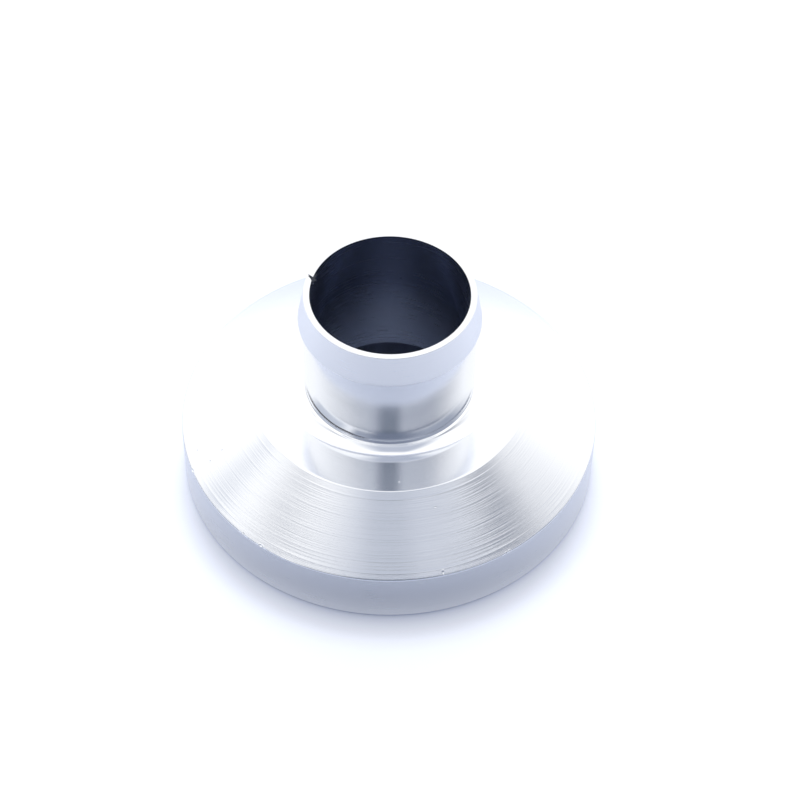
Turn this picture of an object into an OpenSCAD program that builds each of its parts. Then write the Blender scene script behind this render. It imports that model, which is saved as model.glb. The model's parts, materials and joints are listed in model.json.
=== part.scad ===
// Blow-off valve flange: a turned disc with a conical top and a beaded hose tail.
// The disc is hollow underneath, where it takes the nose of the valve.
// The origin is on the axis, in the plane of the underside, with +Z up the hose tail.

/* [Disc] */
// Outer diameter of the disc
disc_d = 63; // [60:0.5:80]
// Height at which the cone would meet the upright outer wall, were the edge sharp
wall_h = 8.6; // [6:0.1:9.5]
// Radius of the rounded edge between the outer wall and the cone
wall_round = 0.3; // [0.2:0.1:1.5]
// Height of the flat ring round the foot of the hose tail
ring_h = 15.6; // [15:0.1:20]
// Outer diameter of that flat ring, where the cone would meet it, were the edge sharp
ring_d = 41.6; // [36:0.1:46]
// Radius of the rounded edge between the flat ring and the cone
ring_round = 0.3; // [0.2:0.1:1.5]
// Width of the 45 degree chamfer round the underside of the outer wall
foot_chamfer = 0.2; // [0.1:0.05:1]

/* [Hose tail] */
// Overall height, from the underside to the mouth of the tail
overall_h = 34.9; // [30:0.1:60]
// Outer diameter of the tail between its root and the bead
tail_d = 25.4; // [24:0.1:26]
// Diameter of the air passage
bore_d = 23.1; // [18:0.1:23.5]
// Widest diameter of the hose bead
bead_d = 26.7; // [26.3:0.1:30]
// Height of the bead's taper, from the mouth down to the widest edge
bead_taper_h = 4.6; // [2:0.1:6]
// Upright land below the widest edge of the bead
bead_land_h = 0.25; // [0.1:0.05:1]
// Height of the slope that returns from the land to the tail
bead_return_h = 0.5; // [0.2:0.05:2]
// Outer diameter of the flat end face round the mouth
mouth_face_d = 24.95; // [24:0.05:26]
// Radius of the fillet at the root of the tail
root_r = 2.8; // [2.5:0.05:4]
// How far the fillet reaches over the flat ring. As it is less than the radius,
// the fillet meets the tail in a crease
root_reach = 2.2; // [1:0.1:2.5]

/* [Valve seat] */
// Diameter of the seat that takes the nose of the valve
seat_d = 50; // [42:0.1:52]
// Depth of the seat, from the underside to its flat roof
seat_depth = 11.7; // [9:0.1:12]
// Width of the 45 degree corner between the seat's wall and its roof
seat_corner = 3; // [1:0.1:4]
// Width of the 45 degree lead-in chamfer at the mouth of the seat
lead_in = 0.8; // [0.3:0.1:1.5]
// Diameter of the groove for the retaining ring
groove_d = 52.4; // [50.5:0.1:54]
// Width of the retaining ring groove
groove_w = 1.7; // [1:0.1:2.5]
// Height of the groove's lower edge above the underside
groove_z = 2; // [1.2:0.1:3]

/* [Hidden] */
$fn = 180;
// How far a cut runs past the surface that it opens
past = 1;
disc_r = disc_d / 2;
ring_r = ring_d / 2;
tail_r = tail_d / 2;
bead_r = bead_d / 2;
seat_r = seat_d / 2;
mouth_face_r = mouth_face_d / 2;
bead_z = overall_h - bead_taper_h;
bead_land_z = bead_z - bead_land_h;
bead_return_z = bead_land_z - bead_return_h;
seat_wall_top = seat_depth - seat_corner;
// Fall of the cone below the horizontal, in degrees
cone_fall = atan2(ring_h - wall_h, disc_r - ring_r);

// What rounding takes off a sharp corner of the outline. The corner is at the point given,
// and its two sides leave it at the angles first and second, counted anticlockwise
module corner_waste(corner, first, second, radius) {
    half = (second - first) / 2;
    middle = (first + second) / 2;
    reach = radius / tan(half);
    centre = corner + radius / sin(half) * [cos(middle), sin(middle)];
    difference() {
        polygon([
            corner + reach * [cos(first), sin(first)],
            centre,
            corner + reach * [cos(second), sin(second)],
            corner - radius * [cos(middle), sin(middle)]
        ]);
        translate(centre) circle(r = radius);
    }
}

// Half section of the disc and the tail before anything is bored, with sharp edges
module sharp_outline() {
    polygon([
        [0, 0],
        [disc_r - foot_chamfer, 0],
        [disc_r, foot_chamfer],
        [disc_r, wall_h],
        [ring_r, ring_h],
        [tail_r, ring_h],
        [tail_r, bead_return_z],
        [bead_r, bead_land_z],
        [bead_r, bead_z],
        [mouth_face_r, overall_h],
        [0, overall_h]
    ]);
}

// Half section of the fillet that joins the tail to the flat ring
module root_outline() {
    difference() {
        translate([tail_r, ring_h]) square([root_reach, root_r]);
        translate([tail_r + root_reach, ring_h + root_r]) circle(r = root_r);
    }
}

// The turned blank: the wall's edge and the ring's edge are rounded, and the root fillet is added
module blank() {
    rotate_extrude() {
        difference() {
            sharp_outline();
            corner_waste([disc_r, wall_h], 180 - cone_fall, 270, wall_round);
            corner_waste([ring_r, ring_h], 180, 360 - cone_fall, ring_round);
        }
        root_outline();
    }
}

// The air passage, open at both ends
module air_passage() {
    translate([0, 0, seat_depth - past])
        cylinder(d = bore_d, h = overall_h - seat_depth + 2 * past);
}

// The hollow that takes the valve: straight wall, cut corner and flat roof
module valve_seat() {
    translate([0, 0, -past])
        cylinder(r = seat_r, h = seat_wall_top + past);
    translate([0, 0, seat_wall_top])
        cylinder(r1 = seat_r, r2 = seat_r - seat_corner, h = seat_corner);
}

// The chamfer that leads the valve into its seat
module seat_lead_in() {
    translate([0, 0, -past])
        cylinder(r1 = seat_r + lead_in + past, r2 = seat_r, h = lead_in + past);
}

// The groove that holds the retaining ring
module ring_groove() {
    translate([0, 0, groove_z])
        cylinder(d = groove_d, h = groove_w);
}

module flange() {
    color("lightsteelblue")
        difference() {
            blank();
            air_passage();
            valve_seat();
            seat_lead_in();
            ring_groove();
        }
}

flange();
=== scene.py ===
import json
import math

import bmesh
import bpy
from mathutils import Matrix, Vector
from mathutils.bvhtree import BVHTree


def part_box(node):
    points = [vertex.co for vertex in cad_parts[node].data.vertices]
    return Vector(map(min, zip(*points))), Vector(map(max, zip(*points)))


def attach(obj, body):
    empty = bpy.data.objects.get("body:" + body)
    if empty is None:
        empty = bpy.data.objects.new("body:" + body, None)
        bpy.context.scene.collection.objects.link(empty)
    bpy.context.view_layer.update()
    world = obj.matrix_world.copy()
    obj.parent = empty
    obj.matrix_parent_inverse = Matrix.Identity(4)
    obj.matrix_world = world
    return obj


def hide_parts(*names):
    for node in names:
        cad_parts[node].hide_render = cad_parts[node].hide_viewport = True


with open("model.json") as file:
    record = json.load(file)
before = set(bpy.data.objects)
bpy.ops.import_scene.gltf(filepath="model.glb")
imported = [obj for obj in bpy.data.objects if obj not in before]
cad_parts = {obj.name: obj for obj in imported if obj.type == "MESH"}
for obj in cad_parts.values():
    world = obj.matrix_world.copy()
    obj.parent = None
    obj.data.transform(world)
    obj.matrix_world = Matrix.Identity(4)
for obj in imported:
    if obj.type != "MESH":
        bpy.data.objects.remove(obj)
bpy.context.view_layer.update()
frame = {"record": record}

bl_info = {
    "name": "Blow-off valve flange",
    "version": (1, 0, 0),
    "blender": (4, 5, 0),
    "location": "View3D > Sidebar > Flange",
    "description": "Turns the flange from its half section, gives it its finishes and sets its stage",
    "category": "Object",
}

LOW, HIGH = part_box("flange")
MOUNTS = {mount["name"]: mount for mount in frame["record"]["mounts"]}
MM = 0.001
DISC_RADIUS = (HIGH[0] - LOW[0]) / 2
OVERALL_HEIGHT = HIGH[2]
BORE_RADIUS = MOUNTS["air_passage"]["dims"]["r_mm"] * MM
SEAT_RADIUS = MOUNTS["valve_seat"]["dims"]["r_mm"] * MM
SEAT_DEPTH = OVERALL_HEIGHT - MOUNTS["air_passage"]["dims"]["length_mm"] * MM
SPIN_STEPS = 360
# Slope of the narrow facet at the root of the tail
FACET_SLOPE = math.radians(16)
# Points of a mesh that are nearer than this are merged
MERGE_DISTANCE = 0.5e-6
# Width of the faces that hold the shading true at the ends of a long side of the section
HOLD = 0.12 * MM


def length(name, description, millimetres):
    """A property that holds a length, given in millimetres and kept in metres"""
    return bpy.props.FloatProperty(name=name, description=description, default=millimetres * MM,
                                   min=0.0, precision=5, unit='LENGTH', subtype='DISTANCE')


def colour(name, description, rgb):
    """A property that holds a colour"""
    return bpy.props.FloatVectorProperty(name=name, description=description, default=rgb,
                                         min=0.0, max=1.0, size=3, subtype='COLOR')


def amount(name, description, value):
    """A property that holds a plain share or strength"""
    return bpy.props.FloatProperty(name=name, description=description, default=value,
                                   min=0.0, subtype='FACTOR', soft_max=1.0)


class FlangeSizes(bpy.types.PropertyGroup):
    """Sizes of the turned section that the frame does not give"""
    wall_height: length("Wall height", "Height at which the cone would meet the outer wall", 8.6)
    wall_round: length("Wall edge", "Radius of the edge between the outer wall and the cone", 0.3)
    ring_height: length("Ring height", "Height of the flat ring round the foot of the tail", 15.6)
    ring_radius: length("Ring radius", "Radius at which the cone would meet the flat ring", 20.8)
    ring_round: length("Ring edge", "Radius of the edge between the flat ring and the cone", 0.3)
    foot_chamfer: length("Foot chamfer", "Width of the chamfer under the outer wall", 0.2)
    tail_radius: length("Tail radius", "Radius of the tail between its root and its bead", 12.7)
    root_round: length("Root fillet", "Radius of the fillet at the root of the tail", 4.15)
    root_reach: length("Root reach", "How far the fillet reaches over the flat ring", 2.82)
    root_facet: length("Root facet", "Width of the witness facet between the tail and its fillet", 0.38)
    root_crease: length("Root crease", "Radius of the crease between the tail and the facet", 0.1)
    bead_radius: length("Bead radius", "Widest radius of the hose bead", 13.35)
    bead_taper: length("Bead taper", "Height of the taper from the mouth to the widest edge", 4.6)
    bead_land: length("Bead land", "Height of the upright land of the bead", 0.25)
    bead_return: length("Bead return", "Height of the slope from the land back to the tail", 0.5)
    mouth_radius: length("Mouth radius", "Outer radius of the flat face round the mouth", 12.475)
    seat_corner: length("Seat corner", "Width of the corner between the seat's wall and its roof", 3.0)
    lead_in: length("Lead-in", "Width of the chamfer at the mouth of the seat", 0.8)
    groove_radius: length("Groove radius", "Radius of the retaining ring groove", 26.2)
    groove_width: length("Groove width", "Width of the retaining ring groove", 1.7)
    groove_height: length("Groove height", "Height of the groove's lower edge", 2.0)
    edge_break: length("Edge break", "Radius of the edges that are only deburred", 0.08)


class FlangeFinish(bpy.types.PropertyGroup):
    """Colour and polish of the metal, and the painted shade and reflection in the bore, the seat and at
    the mouth's inner edge
    """
    metal: colour("Metal", "Colour of the bare aluminium", (0.9, 0.915, 0.945))
    tail_roughness: amount("Tail roughness", "Roughness of the polished tail and flat ring", 0.105)
    round_roughness: amount("Fillet roughness", "Roughness of the burnished fillet and edges", 0.08)
    cone_roughness: amount("Cone roughness", "Roughness of the turned cone", 0.12)
    wall_roughness: amount("Wall roughness", "Roughness of the satin outer wall", 0.3)
    bore_roughness: amount("Bore roughness", "Roughness of the bore", 0.26)
    # Painted light in the bore: the dark blue colour near the mouth paints its shade, and the bright
    # colour lower down paints the reflection of the floor lit through the bore
    bore_painted_shade: colour("Bore", "Colour of the duller metal in the bore, near the mouth",
                       (0.26, 0.30, 0.43))
    deep_painted_reflection: colour("Deep bore", "Colour of the metal at the lower end of the bore", (0.82, 0.88, 1.0))
    # Painted shade: a near-black colour for the inner edge of the mouth and the dark slivers of the burr
    burr_painted_shade: colour("Burr", "Colour of the smeared metal at the burred inner edge of the mouth",
                       (0.05, 0.055, 0.07))
    # Painted shade: the seat's colour is darker than the bare metal, to dim the light inside the recess
    seat_painted_shade: colour("Seat", "Colour of the metal underneath, in the seat", (0.6, 0.625, 0.69))


class FlangeStage(bpy.types.PropertyGroup):
    """Floor, light and camera"""
    floor: colour("Floor", "Colour of the floor", (0.6, 0.66, 0.83))
    floor_radius: length("Floor radius", "Radius of the floor", 350.0)
    floor_lift: amount("Floor lift", "Light that the open floor adds, to meet the white background", 0.5)
    # Painted reflection: the floor is a darker share of its colour only in the metal's reflections
    floor_reflection_shade: amount("Floor mirrored", "Share of the floor's colour that the metal mirrors", 0.86)
    floor_glow: amount("Floor glow", "Light that the metal mirrors from the floor beside and behind it",
                       0.26)
    contact_glow: amount("Contact glow", "Light that the outer wall mirrors from the floor at its foot",
                         0.25)
    # Painted shadow: the floor's lift rises only over this width, which darkens the floor round the foot
    # beyond its real shadow
    contact_width: length("Contact width", "Width of the darker floor round the foot of the part", 4.5)
    open_width: length("Open width", "Distance over which the mirrored floor rises to its lift", 120.0)
    background: colour("Background", "Colour behind the object", (1.0, 1.0, 1.0))
    dome_strength: amount("Dome strength", "Strength of the even light from all round", 0.56)
    room_brightness: amount("Room brightness", "Brightness of the room that the metal mirrors", 1.22)
    lamp_power: bpy.props.FloatProperty(name="Lamp power", description="Power of the soft lamp",
                                        default=2.0, min=0.0, unit='POWER')
    lamp_size: length("Lamp size", "Diameter of the soft lamp", 360.0)
    lamp_distance: length("Lamp distance", "Distance from the origin to the lamp", 600.0)
    lamp_lean: bpy.props.FloatProperty(name="Lamp lean", default=math.radians(33),
                                       description="Angle of the lamp from straight above, to the back",
                                       unit='ROTATION', subtype='ANGLE')
    lens: bpy.props.FloatProperty(name="Lens", description="Focal length of the camera",
                                  default=94.58, min=1.0, unit='CAMERA')
    camera_distance: length("Camera distance", "Distance from the camera to its target", 318.15)
    camera_elevation: bpy.props.FloatProperty(name="Camera elevation", default=math.radians(49.495),
                                              description="Angle of the camera above the floor",
                                              unit='ROTATION', subtype='ANGLE')
    camera_roll: bpy.props.FloatProperty(name="Camera roll", default=math.radians(0.887),
                                         description="Turn of the camera about its own line of sight",
                                         unit='ROTATION', subtype='ANGLE')
    camera_target: bpy.props.FloatVectorProperty(name="Camera target", size=3, precision=5,
                                                 default=(1.638 * MM, 0.0, 11.56 * MM),
                                                 description="Point that the camera looks at",
                                                 unit='LENGTH', subtype='XYZ')


# Mesh helpers

def new_object(name, bm):
    """Make an object at the origin from a bmesh, with its normals outwards, and free the bmesh"""
    bmesh.ops.remove_doubles(bm, verts=bm.verts, dist=MERGE_DISTANCE)
    bmesh.ops.recalc_face_normals(bm, faces=bm.faces)
    mesh = bpy.data.meshes.new(name)
    bm.to_mesh(mesh)
    bm.free()
    piece = bpy.data.objects.new(name, mesh)
    bpy.context.scene.collection.objects.link(piece)
    return piece


def round_corner(bm, corner, radius, segments):
    """Turn one corner of a wire outline into an arc that is tangent to both of its sides"""
    first, second = [edge.other_vert(corner).co - corner.co for edge in corner.link_edges]
    reach = radius / math.tan(first.angle(second) / 2)
    bmesh.ops.bevel(bm, geom=[corner], offset=reach, offset_type='OFFSET', affect='VERTICES',
                    segments=segments, profile=0.5, material=-1)


def add_holding_points(bm, distance, shortest=2.5, widest_share=0.2):
    """Put a point near both ends of each long side, so that its shading stays true up to the ends.
    A side is long from the shortest number of distances up"""
    for edge in [edge for edge in bm.edges if edge.calc_length() > shortest * distance]:
        start, end = edge.verts
        share = min(widest_share, distance / edge.calc_length())
        near = bmesh.utils.edge_split(edge, start, share)[1]
        rest = [link for link in near.link_edges if end in link.verts][0]
        bmesh.utils.edge_split(rest, near, 1 - share / (1 - share))


# The turned body

def section_corners(sizes):
    """Corners of the half section, up the outside and down the inside: radius, height, rounding"""
    bead_top = OVERALL_HEIGHT - sizes.bead_taper
    bead_low = bead_top - sizes.bead_land
    bead_foot = bead_low - sizes.bead_return
    groove_top = sizes.groove_height + sizes.groove_width
    broken = sizes.edge_break
    # The fillet starts at a slope beside a narrow facet, and its two tangents meet on the flat ring
    start = math.acos((sizes.root_reach - sizes.root_facet) / sizes.root_round)
    root_height = sizes.root_round * (1 - math.sin(start))
    root_start = sizes.tail_radius + sizes.root_facet
    root_corner = root_start + root_height * math.tan(start)
    facet_rise = sizes.root_facet * math.tan(FACET_SLOPE)
    return [
        (DISC_RADIUS - sizes.foot_chamfer, 0, 0),
        (DISC_RADIUS, sizes.foot_chamfer, 0),
        (DISC_RADIUS, sizes.wall_height, sizes.wall_round),
        (sizes.ring_radius, sizes.ring_height, sizes.ring_round),
        (root_corner, sizes.ring_height, sizes.root_round),
        (root_start, sizes.ring_height + root_height, 0),
        (sizes.tail_radius, sizes.ring_height + root_height + facet_rise, sizes.root_crease),
        (sizes.tail_radius, bead_foot, broken),
        (sizes.bead_radius, bead_low, broken),
        (sizes.bead_radius, bead_top, broken),
        (sizes.mouth_radius, OVERALL_HEIGHT, broken),
        (BORE_RADIUS, OVERALL_HEIGHT, broken),
        (BORE_RADIUS, SEAT_DEPTH, broken),
        (SEAT_RADIUS - sizes.seat_corner, SEAT_DEPTH, broken),
        (SEAT_RADIUS, SEAT_DEPTH - sizes.seat_corner, broken),
        (SEAT_RADIUS, groove_top, broken),
        (sizes.groove_radius, groove_top, broken),
        (sizes.groove_radius, sizes.groove_height, broken),
        (SEAT_RADIUS, sizes.groove_height, broken),
        (SEAT_RADIUS, sizes.lead_in, broken),
        (SEAT_RADIUS + sizes.lead_in, 0, broken),
    ]


def arc_segments(radius):
    """Segments of a rounded corner: one for each tenth of a millimetre of its radius, within limits"""
    return max(3, min(26, round(radius / (0.1 * MM))))


def turned_section(bm, sizes):
    """Draw the half section as a closed wire in the XZ plane, with its corners rounded"""
    corners = section_corners(sizes)
    points = [bm.verts.new((radius, 0, height)) for radius, height, _ in corners]
    for point, following in zip(points, points[1:] + points[:1]):
        bm.edges.new((point, following))
    for point, (_, _, rounding) in zip(points, corners):
        if rounding > 0:
            round_corner(bm, point, rounding, arc_segments(rounding))
    add_holding_points(bm, HOLD)


def surface_at(centre, sizes):
    """Name of the turned surface that a face belongs to, from the face's centre"""
    radius = math.hypot(centre.x, centre.y)
    height = centre.z
    touch = 0.02 * MM
    rim_width, rim_depth = 0.3 * sizes.edge_break, 2.6 * sizes.edge_break
    groove_top = sizes.groove_height + sizes.groove_width
    bead_foot = OVERALL_HEIGHT - sizes.bead_taper - sizes.bead_land - sizes.bead_return
    root_top = sizes.ring_height + 0.45 * sizes.root_reach
    from_ring_edge = math.hypot(radius - sizes.ring_radius, height - sizes.ring_height)
    from_wall_edge = math.hypot(radius - DISC_RADIUS, height - sizes.wall_height)
    # The rim takes the near-black painted shade at the inner edge of the mouth
    if radius < BORE_RADIUS + rim_width and height > OVERALL_HEIGHT - rim_depth:
        return "rim"
    if height > OVERALL_HEIGHT - sizes.edge_break:
        return "mouth"
    if radius < BORE_RADIUS + sizes.edge_break and height > SEAT_DEPTH:
        return "bore"
    if height < SEAT_DEPTH + touch and radius < SEAT_RADIUS + sizes.lead_in + touch and (
            radius < SEAT_RADIUS + touch or height < groove_top + touch):
        return "seat"
    if height < touch:
        return "seat"
    if height > bead_foot:
        return "bead"
    if height < root_top and radius < sizes.tail_radius + sizes.root_reach:
        return "rounded"
    if from_ring_edge < sizes.ring_round / 3 or from_wall_edge < sizes.wall_round / 1.8:
        return "rounded"
    if radius < sizes.ring_radius:
        return "polished"
    if height > sizes.wall_height + 0.2 * MM:
        return "cone"
    return "wall"


# Nicks and specks in the surface. Each has its azimuth from +X, its radius and height, the elevation
# that the surface faces there, its half sizes round and along the section, and its depth, in degrees
# and millimetres
MARKS = (
    (-74.7, 31.06, 8.89, 57, 0.14, 0.28, 0.16),
    (-125.3, 31.40, 8.68, 28, 0.34, 0.15, 0.10),
    (-157.6, 31.40, 8.68, 28, 0.36, 0.15, 0.09),
    (-131.6, 31.40, 8.68, 28, 0.26, 0.13, 0.06),
    (-56.6, 31.42, 8.66, 28, 0.13, 0.13, 0.07),
    (-55.5, 31.42, 8.66, 28, 0.12, 0.12, 0.07),
    (-162.7, 29.91, 9.64, 57, 0.13, 0.13, 0.05),
    (-157.2, 26.73, 11.72, 57, 0.12, 0.12, 0.05),
    (-156.5, 28.77, 10.39, 57, 0.14, 0.12, 0.05),
    (-72.6, 23.26, 13.99, 57, 0.24, 0.10, 0.04),
    (-80.6, 31.50, 7.68, 0, 0.45, 0.16, 0.03),
    (-119.2, 31.50, 1.49, 0, 0.16, 0.16, 0.05),
    (-84.9, 19.06, 15.60, 90, 0.09, 0.09, 0.03),
    (30.8, 11.55, 33.55, 180, 0.14, 0.20, 0.06),
    (36.9, 11.55, 31.03, 180, 0.13, 0.17, 0.06),
    (36.8, 11.55, 28.46, 180, 0.12, 0.22, 0.06),
    (82.5, 11.55, 26.25, 180, 0.10, 0.12, 0.05),
)


def press_mark(bm, mark, cells=8, spread=2.0, lip=0.3, lip_width=0.5):
    """Press a small hollow with a raised lip into the surface, after cutting the faces round it small.
    The lip is a share of the hollow's depth, and the spread and the lip's width are in half sizes"""
    azimuth, radius, height, facing, across, along, depth = mark
    turn, tilt = math.radians(azimuth), math.radians(facing)
    outward = Vector((math.cos(turn), math.sin(turn), 0))
    side = Vector((-math.sin(turn), math.cos(turn), 0))
    normal = outward * math.cos(tilt) + Vector((0, 0, math.sin(tilt)))
    down = normal.cross(side)
    centre = (outward * radius + Vector((0, 0, height))) * MM
    half_sizes = ((side, across * MM), (down, along * MM))
    bm.faces.ensure_lookup_table()
    bm.faces.index_update()
    found = BVHTree.FromBMesh(bm).find_nearest_range(centre, spread * max(across, along) * MM)
    faces = [bm.faces[index] for index in sorted({hit[2] for hit in found})]
    edges = [edge for face in faces for edge in face.edges]
    verts = [vert for face in faces for vert in face.verts]
    parts = list(dict.fromkeys(faces + edges + verts))
    for direction, half_size in half_sizes:
        for step in range(-cells, cells + 1):
            place = centre + direction * (spread * half_size * step / cells)
            cut = bmesh.ops.bisect_plane(bm, geom=parts, dist=0.1e-6, plane_co=place, plane_no=direction)
            parts = cut["geom"]
    for vert in [part for part in parts if isinstance(part, bmesh.types.BMVert)]:
        offset = vert.co - centre
        reach = math.hypot(*[offset.dot(direction) / half_size for direction, half_size in half_sizes])
        if reach < 1:
            vert.co -= normal * (depth * MM * (1 - reach ** 2) ** 2)
        elif reach < 1 + lip_width:
            vert.co += normal * (lip * depth * MM * math.sin(math.pi * (reach - 1) / lip_width))


# Materials

def link(tree, value, socket):
    """Feed a socket from another socket, or set it to a plain value"""
    if isinstance(value, bpy.types.NodeSocket):
        tree.links.new(value, socket)
    else:
        socket.default_value = value


def maths(tree, operation, *values):
    """Output of a Math node"""
    node = tree.nodes.new("ShaderNodeMath")
    node.operation = operation
    for value, socket in zip(values, node.inputs):
        link(tree, value, socket)
    return node.outputs["Value"]


def rescale(tree, value, low, high, to_low, to_high, smooth=False):
    """Output of a Map Range node"""
    node = tree.nodes.new("ShaderNodeMapRange")
    node.interpolation_type = 'SMOOTHSTEP' if smooth else 'LINEAR'
    for setting, socket in zip((value, low, high, to_low, to_high), node.inputs):
        link(tree, setting, socket)
    return node.outputs["Result"]


def blend_colour(tree, share, first, second):
    """Output of a Mix node for colours"""
    node = tree.nodes.new("ShaderNodeMix")
    node.data_type = 'RGBA'
    link(tree, share, node.inputs["Factor"])
    link(tree, first, node.inputs["A"])
    link(tree, second, node.inputs["B"])
    return node.outputs["Result"]


def noise(tree, vector, scale, detail):
    """Output of a Noise node"""
    node = tree.nodes.new("ShaderNodeTexNoise")
    link(tree, vector, node.inputs["Vector"])
    node.inputs["Scale"].default_value = scale
    node.inputs["Detail"].default_value = detail
    return node.outputs["Fac"]


def vector_of(tree, x, y, z):
    """Output of a Combine XYZ node"""
    node = tree.nodes.new("ShaderNodeCombineXYZ")
    for value, socket in zip((x, y, z), node.inputs):
        link(tree, value, socket)
    return node.outputs["Vector"]


def lathe_coordinates(tree):
    """Object coordinates as a lathe sees them: the place itself, the two parts of a unit vector round
    the axis, the height, and the way along the section"""
    place = tree.nodes.new("ShaderNodeTexCoord").outputs["Object"]
    split = tree.nodes.new("ShaderNodeSeparateXYZ")
    tree.links.new(place, split.inputs["Vector"])
    x, y, z = split.outputs
    squares = [maths(tree, 'MULTIPLY', part, part) for part in (x, y)]
    radius = maths(tree, 'SQRT', maths(tree, 'ADD', *squares))
    along = maths(tree, 'SUBTRACT', radius, z)
    return place, maths(tree, 'DIVIDE', x, radius), maths(tree, 'DIVIDE', y, radius), z, along


def dulled(metal):
    """The colour of a metal in the bottom of a tool ring"""
    return tuple(part * 0.94 for part in metal) + (1,)


def turned_metal(name, metal, roughness, anisotropy, pitch, depth, deep_painted_reflection=None):
    """Turned aluminium. Fine rings run round the axis, and they spread highlights along the section.
    Where deep_painted_reflection is given, the colour turns into it from the mouth of the bore down to
    the seat, painting shade near the mouth and a reflection lower down"""
    material = bpy.data.materials.new(name)
    material.use_nodes = True
    tree = material.node_tree
    shader = tree.nodes["Principled BSDF"]
    shader.inputs["Metallic"].default_value = 1.0
    shader.inputs["Anisotropic"].default_value = anisotropy
    shader.inputs["Anisotropic Rotation"].default_value = 0.25
    tangent = tree.nodes.new("ShaderNodeTangent")
    tangent.direction_type = 'RADIAL'
    tangent.axis = 'Z'
    tree.links.new(tangent.outputs["Tangent"], shader.inputs["Tangent"])

    place, round_x, round_y, height, along = lathe_coordinates(tree)
    feed = maths(tree, 'MULTIPLY', along, 1 / pitch)
    drift = 0.02
    drift_x, drift_y = [maths(tree, 'MULTIPLY', part, drift) for part in (round_x, round_y)]
    spot = vector_of(tree, drift_x, drift_y, feed)
    fine = noise(tree, spot, 1.0, 4.0)
    # Now and then a coarser ring stands out from the fine ones
    coarse = rescale(tree, noise(tree, spot, 0.37, 1.0), 0.56, 0.68, 0.0, 0.45, smooth=True)
    rings = maths(tree, 'ADD', fine, coarse)
    clouds = noise(tree, place, 180.0, 3.0)

    bump = tree.nodes.new("ShaderNodeBump")
    bump.inputs["Strength"].default_value = 1.0
    bump.inputs["Distance"].default_value = depth
    tree.links.new(rings, bump.inputs["Height"])
    tree.links.new(bump.outputs["Normal"], shader.inputs["Normal"])

    by_ring, by_cloud = 0.1 * roughness, 0.06 * roughness
    rough = maths(tree, 'ADD', rescale(tree, fine, 0.3, 0.7, roughness - by_ring, roughness + by_ring),
                  rescale(tree, clouds, 0.3, 0.7, -by_cloud, by_cloud))
    tree.links.new(rough, shader.inputs["Roughness"])
    # Painted light: the colour goes from painted shade near the mouth to a painted reflection towards the
    # seat
    deepening_from = OVERALL_HEIGHT - 9 * MM
    depth_share = rescale(tree, height, deepening_from, SEAT_DEPTH, 0.0, 1.0)
    bright = blend_colour(tree, depth_share, tuple(metal) + (1,), tuple(deep_painted_reflection or metal) + (1,))
    dark = blend_colour(tree, depth_share, dulled(metal), dulled(deep_painted_reflection or metal))
    shade = blend_colour(tree, fine, dark, bright)
    tree.links.new(shade, shader.inputs["Base Color"])
    return material


def body_materials(finish):
    """The finishes of the turned body, by the name of the surface that has them. Each has its metal,
    roughness and anisotropy, and the pitch and depth of its tool rings"""
    metal = finish.metal
    return {
        "cone": turned_metal("cone_turned", metal, finish.cone_roughness, 0.9, 0.3 * MM, 19e-6),
        "polished": turned_metal("tail_polished", metal, finish.tail_roughness, 0.93, 0.5 * MM, 0.15e-6),
        "rounded": turned_metal("edges_burnished", metal, finish.round_roughness, 0.6, 0.5 * MM, 0.1e-6),
        "bead": turned_metal("bead_satin", metal, 0.3, 0.4, 0.2 * MM, 0.6e-6),
        "mouth": turned_metal("mouth_faced", metal, 0.25, 0.5, 0.2 * MM, 0.5e-6),
        "wall": turned_metal("wall_satin", metal, finish.wall_roughness, 0.4, 0.2 * MM, 0.6e-6),
        # Near-black painted shade on the rim at the inner edge of the mouth
        "rim": turned_metal("rim_painted_shade", finish.burr_painted_shade, 0.4, 0.0, 0.2 * MM, 0.5e-6),
        # Painted shade near the mouth of the bore, and a painted reflection of the lit floor lower down
        "bore": turned_metal("bore_turned", finish.bore_painted_shade, finish.bore_roughness, 0.85, 0.25 * MM,
                             2.5e-6, finish.deep_painted_reflection),
        # Painted shade on the seat
        "seat": turned_metal("seat_turned", finish.seat_painted_shade, 0.38, 0.6, 0.25 * MM, 1.0e-6),
    }


class FLANGE_OT_turned_body(bpy.types.Operator):
    """Turn the body from its half section and give each surface its finish"""
    bl_idname = "flange.turned_body"
    bl_label = "Turned body"

    def execute(self, context):
        sizes = context.scene.flange_sizes
        bm = bmesh.new()
        turned_section(bm, sizes)
        bmesh.ops.spin(bm, geom=bm.verts[:] + bm.edges[:], cent=(0, 0, 0), axis=(0, 0, 1),
                       angle=2 * math.pi, steps=SPIN_STEPS, use_merge=True)
        for mark in MARKS:
            press_mark(bm, mark)
        piece = new_object("turned_body", bm)
        finishes = body_materials(context.scene.flange_finish)
        for material in finishes.values():
            piece.data.materials.append(material)
        order = list(finishes)
        for face in piece.data.polygons:
            face.use_smooth = True
            face.material_index = order.index(surface_at(face.center, sizes))
        piece.data.set_sharp_from_angle(angle=math.radians(30))
        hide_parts("flange")
        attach(piece, "root")
        return {'FINISHED'}


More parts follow.
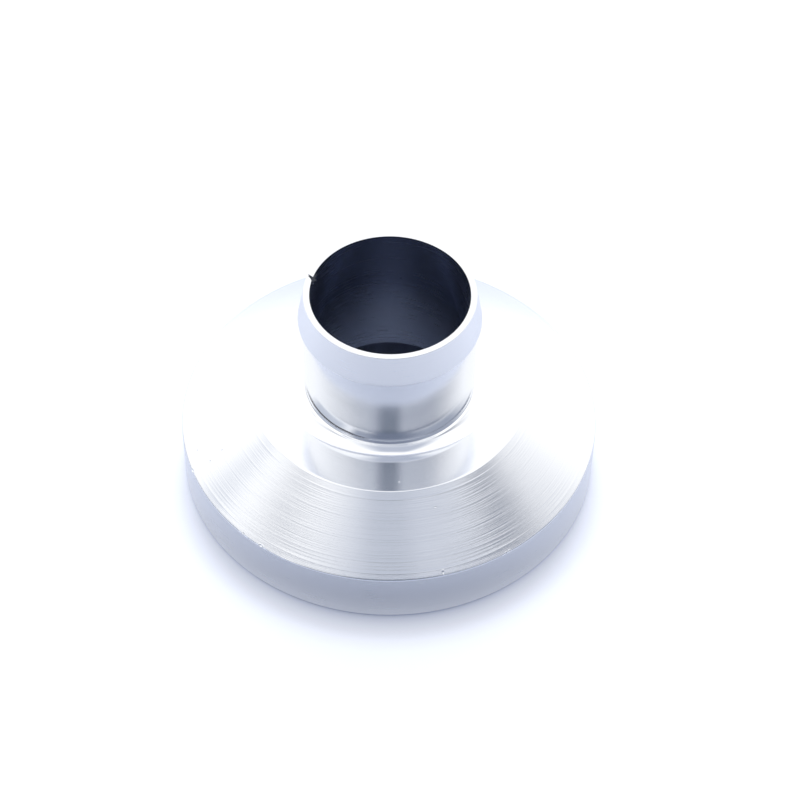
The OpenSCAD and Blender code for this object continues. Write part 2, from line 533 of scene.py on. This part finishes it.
def sliver(bm, root, tip, width, thickness, curl, material_index):
    """Add one thin pointed sliver of metal, from its root to its tip, curled sideways"""
    way = Vector(tip) - Vector(root)
    start = len(bm.verts)
    made = bmesh.ops.create_cone(bm, cap_ends=True, segments=10, radius1=width / 2, radius2=width / 40,
                                 depth=way.length)["verts"]
    sides = list(dict.fromkeys(edge for vert in made for edge in vert.link_edges
                               if abs(edge.verts[0].co.z - edge.verts[1].co.z) > way.length / 2))
    bmesh.ops.subdivide_edges(bm, edges=sides, cuts=6)
    bm.verts.ensure_lookup_table()
    made = bm.verts[start:]
    for vert in made:
        share = vert.co.z / way.length + 0.5
        vert.co.x += curl * (share ** 2 - share)
        vert.co.y *= thickness / width
    for face in {face for vert in made for face in vert.link_faces}:
        face.material_index = material_index
        face.smooth = True
    middle = Matrix.Translation((Vector(root) + Vector(tip)) / 2)
    stand = middle @ way.to_track_quat('Z', 'Y').to_matrix().to_4x4()
    bmesh.ops.transform(bm, matrix=stand, verts=made)


# Slivers of the burr: root, tip, width, thickness and curl in millimetres, and whether it is bright, that
# is bare metal rather than near-black painted shade
BURR = (
    ((-10.88, 2.15, 34.84), (-11.88, 3.46, 35.05), 0.90, 0.22, 0.40, False),
    ((-11.02, 2.85, 34.88), (-10.52, 3.66, 35.05), 0.50, 0.20, -0.16, False),
    ((-11.18, 2.60, 33.90), (-10.90, 3.20, 34.92), 0.26, 0.14, 0.10, True),
)


class FLANGE_OT_mouth_burr(bpy.types.Operator):
    """Leave the torn burr at the inner edge of the mouth"""
    bl_idname = "flange.mouth_burr"
    bl_label = "Mouth burr"

    def execute(self, context):
        finish = context.scene.flange_finish
        bm = bmesh.new()
        for root, tip, width, thickness, curl, bright in BURR:
            ends = [[part * MM for part in end] for end in (root, tip)]
            sliver(bm, *ends, width * MM, thickness * MM, curl * MM, int(bright))
        piece = new_object("mouth_burr", bm)
        # The dark slivers take the near-black painted shade, the bright one the bare metal
        metals = (("burr_painted_dark", finish.burr_painted_shade, 0.4), ("burr_bright", finish.metal, 0.3))
        for name, metal, roughness in metals:
            piece.data.materials.append(turned_metal(name, metal, roughness, 0.0, 0.2 * MM, 0.5e-6))
        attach(piece, "root")
        return {'FINISHED'}


# Stage

def soft_window(tree, value, edges):
    """0 outside the first and last edge, 1 between the middle two, and a soft slope between"""
    outer_low, inner_low, inner_high, outer_high = edges
    rising = rescale(tree, value, outer_low, inner_low, 0.0, 1.0, smooth=True)
    falling = rescale(tree, value, inner_high, outer_high, 1.0, 0.0, smooth=True)
    return maths(tree, 'MULTIPLY', rising, falling)


# What the metal mirrors. Each item has the azimuths from the camera's side (positive to the right) and
# the elevations between which it fades in and out, in degrees, and its colour. Later items lie over
# earlier ones
ROOM = (
    ("side wall, left", (-126, -20, -5, 5), (42, 46, 50, 53), (0.20, 0.23, 0.31)),
    ("ceiling, front", (-75, -8, 50, 95), (40, 66, 79, 87), (0.55, 0.59, 0.69)),
    ("side wall, right", (-6, 2, 57, 127), (39, 42, 49, 52), (0.16, 0.185, 0.26)),
    ("table, front", (-125, -105, 105, 125), (-60, -40, 4, 14), (0.36, 0.40, 0.50)),
    ("low wall, front", (-51, -35, 72, 120), (-13, -6, 31, 44), (0.41, 0.445, 0.53)),
    ("low wall, left", (-110, -91, -62, -42), (-8, 2, 34, 38), (0.68, 0.72, 0.80)),
    ("dark patch, wide", (-34, -8, 8, 50), (2, 16, 47, 50), (0.205, 0.238, 0.32)),
    ("dark patch, narrow", (-24, -2, 6, 24), (45, 48, 53, 56), (0.12, 0.15, 0.20)),
    ("edge of the table, right", (30, 55, 105, 125), (-8, -5, 1, 4), (0.10, 0.11, 0.15)),
    ("edge of the table, left", (-125, -118, -32, -20), (-8, -6, 3, 5), (0.012, 0.012, 0.02)),
    ("shelf, left", (-112, -104, -46, -36), (-2, 2, 5, 9), (0.03, 0.018, 0.014)),
)


def room_colour(tree, stage):
    """The bright room that the metal mirrors"""
    direction = tree.nodes.new("ShaderNodeTexCoord").outputs["Generated"]
    split = tree.nodes.new("ShaderNodeSeparateXYZ")
    tree.links.new(direction, split.inputs["Vector"])
    x, y, z = split.outputs
    elevation = maths(tree, 'DEGREES', maths(tree, 'ARCSINE', z))
    azimuth = maths(tree, 'DEGREES', maths(tree, 'ARCTAN2', x, maths(tree, 'MULTIPLY', y, -1.0)))
    light = tuple(stage.room_brightness * part for part in stage.background) + (1,)
    for _, azimuths, elevations, shade in ROOM:
        cover = maths(tree, 'MULTIPLY', soft_window(tree, azimuth, azimuths),
                      soft_window(tree, elevation, elevations))
        light = blend_colour(tree, cover, light, shade + (1,))
    return light


def ray_kinds(tree):
    """Outputs that are 1 for camera rays, and 1 for rays that a mirror or glass has sent on"""
    path = tree.nodes.new("ShaderNodeLightPath").outputs
    mirrored = maths(tree, 'MAXIMUM', path["Is Glossy Ray"], path["Is Transmission Ray"])
    return path["Is Camera Ray"], mirrored


def studio_world(stage):
    """Soft even light, a plain background for the camera and a bright room for the metal to mirror"""
    world = bpy.data.worlds.new("studio")
    world.use_nodes = True
    tree = world.node_tree
    camera, mirrored = ray_kinds(tree)
    plain = tuple(stage.dome_strength * part for part in stage.background) + (1,)
    light = blend_colour(tree, mirrored, plain, room_colour(tree, stage))
    light = blend_colour(tree, camera, light, tuple(stage.background) + (1,))
    tree.links.new(light, tree.nodes["Background"].inputs["Color"])
    bpy.context.scene.world = world


def place_lamp(stage):
    """A large soft lamp behind the part, which gives the shadow its direction"""
    data = bpy.data.lights.new("soft_lamp", 'AREA')
    data.shape = 'DISK'
    data.size = stage.lamp_size
    data.energy = stage.lamp_power
    lamp = bpy.data.objects.new("soft_lamp", data)
    bpy.context.scene.collection.objects.link(lamp)
    lamp.matrix_world = (Matrix.Rotation(stage.lamp_lean, 4, 'X').inverted()
                         @ Matrix.Translation((0, 0, stage.lamp_distance)))
    lamp.visible_glossy = False


def floor_material(stage):
    """A matt floor that keeps the shadow, lifted to the background's white where it is open; the lift
    grows only over the contact width, which paints more shadow round the foot. In the metal's reflections
    it is painted a little duller, which shows in front of the part, and a painted glow makes it brighter
    beside it and behind it"""
    material = bpy.data.materials.new("floor_matt")
    material.use_nodes = True
    tree = material.node_tree
    shader = tree.nodes["Principled BSDF"]
    shader.inputs["Roughness"].default_value = 0.9
    shader.inputs["Specular IOR Level"].default_value = 0.1
    shader.inputs["Emission Color"].default_value = tuple(stage.background) + (1,)
    camera, mirrored = ray_kinds(tree)
    # Painted reflection: a darker floor colour for rays that the metal mirrors
    painted_reflection_shade = tuple(part * stage.floor_reflection_shade for part in stage.floor)
    shade = blend_colour(tree, mirrored, tuple(stage.floor) + (1,), painted_reflection_shade + (1,))
    tree.links.new(shade, shader.inputs["Base Color"])

    place = tree.nodes.new("ShaderNodeTexCoord").outputs["Object"]
    length_node = tree.nodes.new("ShaderNodeVectorMath")
    length_node.operation = 'LENGTH'
    tree.links.new(place, length_node.inputs[0])
    apart = length_node.outputs["Value"]
    split = tree.nodes.new("ShaderNodeSeparateXYZ")
    tree.links.new(place, split.inputs["Vector"])
    edge = DISC_RADIUS
    outside = rescale(tree, apart, edge - 1 * MM, edge, 0.0, 1.0)
    near = rescale(tree, apart, edge, edge + stage.contact_width, 0.0, 1.0)
    far = rescale(tree, apart, edge, edge + stage.open_width, 0.0, 1.0)
    contact = maths(tree, 'MULTIPLY', outside, maths(tree, 'SUBTRACT', 1.0, near))
    # The glow is nothing straight in front, and full a little behind the sides
    towards_back = maths(tree, 'DIVIDE', split.outputs["Y"], apart)
    full_from = 0.2
    sideways = rescale(tree, towards_back, -1.0, full_from, 0.0, stage.floor_glow)
    glow = maths(tree, 'MULTIPLY', outside, sideways)

    seen_glow = 1.6
    # For the camera the lift rises only over the contact width, a painted shadow round the foot; the glow
    # near the foot is painted light
    seen = maths(tree, 'ADD', maths(tree, 'MULTIPLY', maths(tree, 'POWER', near, 0.5), stage.floor_lift),
                 maths(tree, 'MULTIPLY', contact, maths(tree, 'MULTIPLY', glow, seen_glow)))
    reflected = maths(tree, 'ADD', maths(tree, 'MULTIPLY', far, stage.floor_lift),
                      maths(tree, 'ADD', glow, maths(tree, 'MULTIPLY', contact, stage.contact_glow)))
    lift = maths(tree, 'ADD', maths(tree, 'MULTIPLY', camera, seen),
                 maths(tree, 'MULTIPLY', mirrored, reflected))
    tree.links.new(lift, shader.inputs["Emission Strength"])
    return material


def place_floor(stage):
    """A round floor, just under the part"""
    clearance = 0.02 * MM
    bm = bmesh.new()
    bmesh.ops.create_circle(bm, cap_ends=True, segments=96, radius=stage.floor_radius)
    bmesh.ops.translate(bm, verts=bm.verts, vec=(0, 0, LOW[2] - clearance))
    floor = new_object("floor", bm)
    floor.data.materials.append(floor_material(stage))


def place_camera(stage):
    """Set the camera on its target, at the photograph's angle"""
    data = bpy.data.cameras.new("camera")
    data.sensor_width = 36.0
    data.lens = stage.lens
    data.clip_start = 0.01
    data.clip_end = 10.0
    camera = bpy.data.objects.new("camera", data)
    bpy.context.scene.collection.objects.link(camera)
    camera.matrix_world = (Matrix.Translation(stage.camera_target)
                           @ Matrix.Rotation(math.pi / 2 - stage.camera_elevation, 4, 'X')
                           @ Matrix.Rotation(stage.camera_roll, 4, 'Z')
                           @ Matrix.Translation((0, 0, stage.camera_distance)))
    bpy.context.scene.camera = camera


class FLANGE_OT_stage(bpy.types.Operator):
    """Lay the floor, light the studio and place the camera"""
    bl_idname = "flange.stage"
    bl_label = "Stage"

    def execute(self, context):
        stage = context.scene.flange_stage
        studio_world(stage)
        place_lamp(stage)
        place_floor(stage)
        place_camera(stage)
        context.scene.view_settings.view_transform = 'Standard'
        return {'FINISHED'}


class FLANGE_PT_sidebar(bpy.types.Panel):
    """Sizes, finishes and steps of the flange"""
    bl_idname = "FLANGE_PT_sidebar"
    bl_label = "Blow-off valve flange"
    bl_space_type = 'VIEW_3D'
    bl_region_type = 'UI'
    bl_category = "Flange"

    def draw(self, context):
        for operator in OPERATORS:
            self.layout.operator(operator.bl_idname)
        scene = context.scene
        for settings in (scene.flange_sizes, scene.flange_finish, scene.flange_stage):
            box = self.layout.box()
            for name in settings.__annotations__:
                box.prop(settings, name)


OPERATORS = (FLANGE_OT_turned_body, FLANGE_OT_mouth_burr, FLANGE_OT_stage)
CLASSES = (FlangeSizes, FlangeFinish, FlangeStage) + OPERATORS + (FLANGE_PT_sidebar,)


def register():
    for item in CLASSES:
        bpy.utils.register_class(item)
    bpy.types.Scene.flange_sizes = bpy.props.PointerProperty(type=FlangeSizes)
    bpy.types.Scene.flange_finish = bpy.props.PointerProperty(type=FlangeFinish)
    bpy.types.Scene.flange_stage = bpy.props.PointerProperty(type=FlangeStage)


def unregister():
    del bpy.types.Scene.flange_stage
    del bpy.types.Scene.flange_finish
    del bpy.types.Scene.flange_sizes
    for item in reversed(CLASSES):
        bpy.utils.unregister_class(item)


def main():
    register()
    bpy.ops.flange.turned_body()
    bpy.ops.flange.mouth_burr()
    bpy.ops.flange.stage()


if __name__ == "__main__":
    main()
